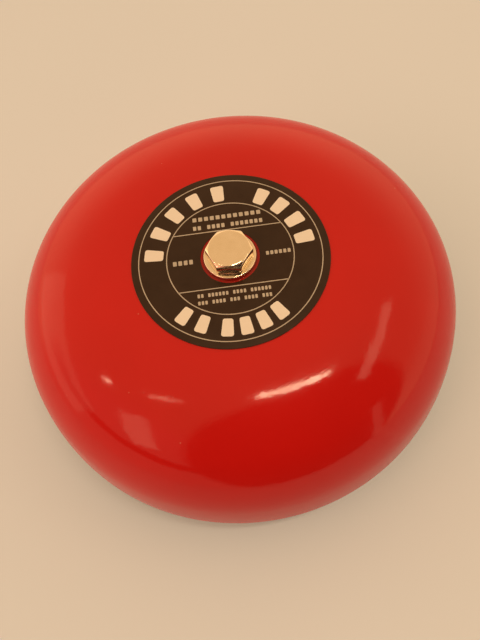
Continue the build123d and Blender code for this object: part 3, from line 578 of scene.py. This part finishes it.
def build_gong():
    outer = dome_points(0.0)
    inner = dome_points(GONG_WALL - SEAT_GAP)
    rim_outer = Vector(outer[-1])
    rim_inner = Vector(inner[-1])
    rim = []
    for centre_r, start, end in (
        (rim_outer.x - RIM_ROUND, 0.0, -90.0),
        (rim_inner.x + RIM_ROUND, -90.0, -180.0),
    ):
        for k in range(RIM_STEPS + 1):
            a = math.radians(start + (end - start) * k / RIM_STEPS)
            rim.append((centre_r + RIM_ROUND * math.cos(a), rim_outer.y + RIM_ROUND * (1 + math.sin(a))))
    keep_outer = [p for p in outer[:-1] if p[1] > rim_outer.y + RIM_ROUND]
    keep_inner = [p for p in inner[:-1] if p[1] > rim_inner.y + RIM_ROUND]
    profile = keep_outer + rim + keep_inner[::-1]
    bm = bmesh.new()
    lathe(bm, profile, GONG_STEPS)
    # Deep drawing leaves the wall very slightly uneven, which bends the reflections.
    for vert in bm.verts:
        radial = math.hypot(vert.co.x, vert.co.y)
        if radial > GONG_FLAT_R:
            fade = min(1.0, (radial - GONG_FLAT_R) / PRESS_FADE)
            wave = noise.noise(vert.co / PRESS_BROAD) + 0.4 * noise.noise(vert.co / PRESS_FINE)
            vert.co.z += PRESS_WAVE * fade * wave
    piece = finish_mesh("gong_shell", bm, "gong_paint", "gong", ("gong",))
    # The inside took less paint, in its own darker finish.
    piece.data.materials.append(FINISHES["gong_paint_inside"])
    for face in piece.data.polygons:
        outward = face.center.x * face.normal.x + face.center.y * face.normal.y
        if face.normal.z < -0.2 or outward < -1e-4:
            face.material_index = 1


# ---------------------------------------------------------------- label

def ring_outline(inner, outer, low, high, edge):
    """The section of a flat ring with its edges rounded."""
    return rounded([(inner, low), (outer, low), (outer, high), (inner, high)], edge, 3)


def arc_block(bm, angle, half_width, mid_r, height):
    """A block mark with rounded corners that stands on a circle round the bell's axis."""
    corners = [(-half_width, -height / 2), (half_width, -height / 2), (half_width, height / 2),
               (-half_width, height / 2)]
    outline = []
    for x, y in rounded(corners, MARK_CORNER, 4):
        turn = math.radians(angle) - x / mid_r
        outline.append(((mid_r + y) * math.cos(turn), (mid_r + y) * math.sin(turn)))
    plate(bm, outline, LABEL_TOP, LABEL_TOP + INK_T)


def straight_block(bm, centre, width, height, corner):
    """A printed bar along X with rounded corners."""
    x, y = centre
    corners = [(x - width / 2, y - height / 2), (x + width / 2, y - height / 2),
               (x + width / 2, y + height / 2), (x - width / 2, y + height / 2)]
    plate(bm, rounded(corners, corner, 2), LABEL_TOP, LABEL_TOP + INK_T)


def build_label():
    bm = bmesh.new()
    lathe(bm, ring_outline(LABEL_HOLE_R, LABEL_R, LABEL_LOW, LABEL_TOP, LABEL_EDGE), LABEL_STEPS)
    finish_mesh("label_disc", bm, "label_print", "gong", ("gong_label",))

    rings = bmesh.new()
    for radius in (OUTER_RING_R, INNER_RING_R):
        inner = radius - RING_W / 2
        outer = radius + RING_W / 2
        lathe(rings, ring_outline(inner, outer, LABEL_TOP, LABEL_TOP + INK_T, INK_EDGE), LABEL_STEPS)
    for y in (UPPER_CHORD_Y, LOWER_CHORD_Y):
        half = math.sqrt(INNER_RING_R ** 2 - y ** 2)
        straight_block(rings, (0.0, y), 2 * half, RING_W, 2 * INK_EDGE)
    finish_mesh("label_rings", rings, "label_print", "gong", look="label_ink_thin")

    # Plain blocks keep the rhythm of the printed words without any letter: one block for each.
    marks = bmesh.new()
    for angle in UPPER_MARKS:
        arc_block(marks, angle, *UPPER_MARK_SIZE)
    for angle in LOWER_MARKS:
        arc_block(marks, angle, *LOWER_MARK_SIZE)
    finish_mesh("label_marks", marks, "label_print", "gong", look="label_ink")

    small = bmesh.new()
    for left, right, y, height, words in SMALL_LINES:
        pitch = (right - left) / (sum(words) + len(words) - 1)
        x = left
        for letters in words:
            for _ in range(letters):
                straight_block(small, (x + pitch / 2, y), pitch * LETTER_FILL, height, LETTER_CORNER)
                x += pitch
            x += pitch
    finish_mesh("label_small_marks", small, "label_print", "gong", look="label_ink_thin")


# ---------------------------------------------------------------- bolt and washer

def hexagon_reach(turn, apothem, corner):
    """Distance from the axis to a rounded hexagon in one direction."""
    sector = math.radians(60)
    off_face = abs((turn + sector / 2) % sector - sector / 2)
    flat_end = (apothem - corner) * math.tan(math.radians(30))
    if math.tan(off_face) * apothem <= flat_end:
        return apothem / math.cos(off_face)
    centre = (apothem - corner) / math.cos(math.radians(30))
    swing = math.radians(30) - off_face
    return centre * math.cos(swing) + math.sqrt(corner ** 2 - (centre * math.sin(swing)) ** 2)


def build_bolt_head(bm):
    """A forged hexagon with a turned chamfer, its edges broken, and a washer face below."""
    rows = []
    for k in range(HEAD_STEPS):
        turn = 2 * math.pi * k / HEAD_STEPS
        reach = hexagon_reach(turn - BOLT_TURN - math.radians(30), BOLT_AF / 2, HEAD_EDGE_R)
        drop = (reach - HEAD_FLAT_R) * HEAD_CHAMFER
        column = [(0.0, HEAD_TOP), (2.0, HEAD_TOP), (4.2, HEAD_TOP), (HEAD_FLAT_R - 0.35, HEAD_TOP),
                  (HEAD_FLAT_R - 0.1, HEAD_TOP - 0.02), (HEAD_FLAT_R + 0.15, HEAD_TOP - 0.11)]
        lip = min(0.22, 0.4 * (reach - HEAD_FLAT_R - 0.15))
        column += [(reach - lip, HEAD_TOP - drop + lip * HEAD_CHAMFER),
                   (reach - 0.3 * lip, HEAD_TOP - drop - 0.1 * lip),
                   (reach, HEAD_TOP - drop - 0.9 * lip)]
        column += [(reach, 0.5 * (HEAD_TOP - drop + HEAD_LOW)), (reach, HEAD_LOW + 0.45),
                   (reach - 0.1, HEAD_LOW + 0.28), (HEAD_FLAT_R + 0.05, HEAD_LOW + 0.22),
                   (HEAD_FLAT_R, HEAD_LOW), (THREAD_ROOT_R, HEAD_LOW)]
        rows.append([bm.verts.new((r * math.cos(turn), r * math.sin(turn), z)) for r, z in column])
    for k, row in enumerate(rows):
        ahead = rows[(k + 1) % HEAD_STEPS]
        for j in range(len(row) - 1):
            bm.faces.new((row[j], ahead[j], ahead[j + 1], row[j + 1]))


def build_thread(bm):
    """The shank as a height field round a cylinder, so the helix is a real one."""
    length = HEAD_LOW - SHANK_LOW
    rows = round(length / THREAD_PITCH * THREAD_ROWS_PER_PITCH)
    rings = []
    for j in range(rows + 1):
        z = HEAD_LOW - length * j / rows
        from_tip = z - SHANK_LOW
        point = min(1.0, 0.55 + from_tip / 1.4)
        ring = []
        for k in range(THREAD_STEPS):
            phase = ((HEAD_LOW - z) / THREAD_PITCH + k / THREAD_STEPS) % 1.0
            ridge = min(1.0, max(0.0, 1.35 * (1 - abs(2 * phase - 1)) - 0.12))
            run_in = min(1.0, max(0.0, (HEAD_LOW - z) / THREAD_PITCH - 0.6))
            r = THREAD_ROOT_R + (THREAD_R - THREAD_ROOT_R) * (ridge if run_in else 0.4)
            r = min(r, THREAD_R * (0.72 + 0.28 * point))
            turn = 2 * math.pi * k / THREAD_STEPS
            ring.append(bm.verts.new((r * math.cos(turn), r * math.sin(turn), z)))
        rings.append(ring)
    for j in range(rows):
        for k in range(THREAD_STEPS):
            k_next = (k + 1) % THREAD_STEPS
            bm.faces.new((rings[j][k], rings[j + 1][k], rings[j + 1][k_next], rings[j][k_next]))
    bm.faces.new(rings[0])
    bm.faces.new(rings[-1][::-1])


def build_bolt():
    head = bmesh.new()
    build_bolt_head(head)
    finish_mesh("bolt_head", head, "zinc_plate", "gong_bolt", ("gong_bolt",), smooth_deg=28)
    shank = bmesh.new()
    build_thread(shank)
    finish_mesh("bolt_shank", shank, "zinc_plate", "gong_bolt", smooth_deg=50)
    washer = bmesh.new()
    outline = [(WASHER_HOLE_R, WASHER_LOW), (WASHER_R, WASHER_LOW), (WASHER_R, HEAD_LOW),
               (WASHER_HOLE_R, HEAD_LOW)]
    lathe(washer, rounded(outline, WASHER_EDGE, 4), 144)
    finish_mesh("washer_disc", washer, "zinc_plate", "bolt_washer", ("bolt_washer",), smooth_deg=40)


# ---------------------------------------------------------------- return spring

def build_spring():
    """A compression spring with closed ends, between the plunger's clip and the solenoid's frame."""
    steps = round(SPRING_TURNS * SPRING_STEPS_PER_TURN)
    start = SPRING_BACK_Y - SPRING_WIRE_R
    end = SPRING_FRONT_Y + SPRING_WIRE_R
    # A turn advances one wire's width where the ends are closed, and the rest shares what is left.
    closed = 2 * SPRING_WIRE_R * SPRING_CLOSED_TURNS
    open_turns = SPRING_TURNS - 2 * SPRING_CLOSED_TURNS
    open_pitch = (start - end - 2 * closed) / open_turns
    path = []
    for k in range(steps + 1):
        turns = k / SPRING_STEPS_PER_TURN
        from_start = min(turns, SPRING_CLOSED_TURNS) * 2 * SPRING_WIRE_R
        middle = min(max(turns - SPRING_CLOSED_TURNS, 0), open_turns) * open_pitch
        at_end = max(turns - SPRING_CLOSED_TURNS - open_turns, 0) * 2 * SPRING_WIRE_R
        angle = 2 * math.pi * turns
        path.append(Vector((SPRING_R * math.cos(angle), start - from_start - middle - at_end,
                            STRIKE_Z + SPRING_R * math.sin(angle))))
    bm = bmesh.new()
    tube(bm, path, SPRING_WIRE_R, SPRING_SIDES)
    spring = finish_mesh("spring_coil", bm, "spring_steel", "base", ("return_spring",), smooth_deg=50)
    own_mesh(spring)


# ---------------------------------------------------------------- small work on the circuit board

def build_solder():
    """A cone of solder round the foot of each lead."""
    solder = bmesh.new()
    for x, y, wire_r in LEAD_FEET:
        foot_r = wire_r + 0.75
        outline = [(0.0, BOARD_TOP), (foot_r, BOARD_TOP), (foot_r - 0.08, BOARD_TOP + 0.10),
                   (wire_r + 0.32, BOARD_TOP + 0.28), (wire_r + 0.10, BOARD_TOP + 0.62),
                   (wire_r + 0.01, BOARD_TOP + 0.95), (0.0, BOARD_TOP + 0.95)]
        lathe(solder, outline, 24, (x, y))
    finish_mesh("solder_joints", solder, "zinc_plate", "base", look="solder", smooth_deg=60)


def build_tracks():
    tracks = bmesh.new()
    for start, end, width in TRACKS:
        along = (Vector(end) - Vector(start)).normalized()
        side = Vector((-along.y, along.x)) * width / 2
        begin = Vector(start) - along * width / 2
        finish = Vector(end) + along * width / 2
        corners = [begin - side, finish - side, finish + side, begin + side]
        plate(tracks, rounded(corners, width * 0.45, 4), BOARD_TOP, BOARD_TOP + TRACK_T)
    finish_mesh("board_tracks", tracks, "board_laminate", "base", look="board_track")


def build_diode_bands():
    """The painted band that marks one end of each diode."""
    inner = DIODE_R - BAND_IN
    outer = DIODE_R + BAND_OUT
    section = [(inner, BAND_FROM), (outer, BAND_FROM), (outer, BAND_TO), (inner, BAND_TO)]
    bands = bmesh.new()
    for y in DIODE_ROWS:
        turned = lathe(bands, rounded(section, 0.02, 2), 40)
        swing = Matrix.Translation((DIODE_X, y, DIODE_Z)) @ Matrix.Rotation(math.radians(90), 4, "Y")
        bmesh.ops.transform(bands, matrix=swing, verts=turned)
    finish_mesh("diode_bands", bands, "diode_body", "base", look="diode_band")


# ---------------------------------------------------------------- carried-over CAD nodes

def dress_cad_nodes():
    """Each CAD node keeps its shape and takes the finish of its slot."""
    slot_of = {part["node"]: part["material_slot"] for part in frame["record"]["subparts"]}
    for node, obj in frame["nodes"].items():
        obj.data.materials.clear()
        obj.data.materials.append(FINISHES[slot_of[node]])


# ---------------------------------------------------------------- floor, lights and camera

def build_floor():
    mesh = bpy.data.meshes.new("floor")
    corners = [(x * FLOOR_HALF, y * FLOOR_HALF, 0) for x, y in ((-1, -1), (1, -1), (1, 1), (-1, 1))]
    mesh.from_pydata(corners, [], [(0, 1, 2, 3)])
    floor = bpy.data.objects.new("floor", mesh)
    bpy.context.scene.collection.objects.link(floor)
    mat, tree, shader = material("floor_paper", Roughness=0.85, Emission_Color=rgb(*FLOOR_GLOW),
                                  Emission_Strength=FLOOR_GLOW_STRENGTH)
    shade = ramp(tree, speckle(tree, coordinates(tree), 300, 2.0), 0.3, 0.7)
    darker, paler = FLOOR_COLOURS
    tree.links.new(blend_colours(tree, shade, rgb(*darker), rgb(*paler)), shader.inputs["Base Color"])
    mesh.materials.append(mat)


def softbox(name, towards, distance, size, watts, along):
    """A rectangular soft light in one direction from the bell, facing it."""
    light = bpy.data.lights.new(name, "AREA")
    light.shape = "RECTANGLE"
    light.size, light.size_y = size
    light.energy = watts
    light.color = LAMP_TINT
    obj = bpy.data.objects.new(name, light)
    bpy.context.scene.collection.objects.link(obj)
    back = Vector(towards).normalized()
    side = Vector(along)
    side = (side - back * side.dot(back)).normalized()
    up = back.cross(side)
    turn = Matrix((side, up, back)).transposed()
    obj.matrix_world = Matrix.Translation(LAMP_TARGET + back * distance) @ turn.to_4x4()


def build_world():
    """A warm room: dim ceiling, lighter walls towards the horizon, dark patches, and a plain backdrop."""
    world = bpy.data.worlds.new("studio")
    bpy.context.scene.world = world
    world.use_nodes = True
    tree = world.node_tree
    towards = add(tree, "ShaderNodeTexCoord").outputs["Generated"]
    height = add(tree, "ShaderNodeSeparateXYZ", {"Vector": towards}).outputs["Z"]
    wall = smooth_ramp(tree, height, WALL_TOP, WALL_LOW)
    room = blend_colours(tree, wall, rgb(*CEILING_GLOW), rgb(*WALL_GLOW))
    nearness = add(tree, "ShaderNodeVectorMath", {0: towards, 1: NEAR_TOWARDS}, operation="DOT_PRODUCT")
    near = smooth_ramp(tree, nearness.outputs["Value"], NEAR_OUTER, NEAR_INNER)
    room = blend_colours(tree, near, room, rgb(*NEAR_GLOW))
    above = smooth_ramp(tree, height, SHELF_LOW - SHELF_BLUR, SHELF_LOW)
    below = smooth_ramp(tree, height, SHELF_HIGH + SHELF_BLUR, SHELF_HIGH)
    shelf = maths(tree, "MULTIPLY", maths(tree, "MULTIPLY", above, below), near)
    room = blend_colours(tree, shelf, room, rgb(*DARK_GLOW))
    facing = add(tree, "ShaderNodeVectorMath", {0: towards, 1: DARK_TOWARDS}, operation="DOT_PRODUCT")
    shade = smooth_ramp(tree, facing.outputs["Value"], DARK_OUTER, DARK_INNER)
    sky = blend_colours(tree, shade, room, rgb(*DARK_GLOW))
    seen = add(tree, "ShaderNodeLightPath").outputs["Is Camera Ray"]
    tree.links.new(blend_colours(tree, seen, sky, rgb(*BACKDROP)), tree.nodes["Background"].inputs["Color"])


def build_lights():
    for lamp in LAMPS:
        softbox(*lamp)


def build_camera():
    data = bpy.data.cameras.new("photo_camera")
    data.sensor_width = SENSOR_W
    data.lens = CAMERA_LENS
    data.clip_start = CLIP_START
    camera = bpy.data.objects.new("photo_camera", data)
    bpy.context.scene.collection.objects.link(camera)
    forward = CAMERA_FORWARD.normalized()
    right = (CAMERA_RIGHT - forward * CAMERA_RIGHT.dot(forward)).normalized()
    up = right.cross(forward)
    turn = Matrix((right, up, -forward)).transposed()
    camera.matrix_world = Matrix.Translation(CAMERA_AT) @ turn.to_4x4()
    bpy.context.scene.camera = camera


dress_cad_nodes()
build_gong()
build_label()
build_bolt()
build_spring()
build_solder()
build_tracks()
build_diode_bands()
build_floor()
build_world()
build_lights()
build_camera()
bpy.context.scene.view_settings.view_transform = "Standard"
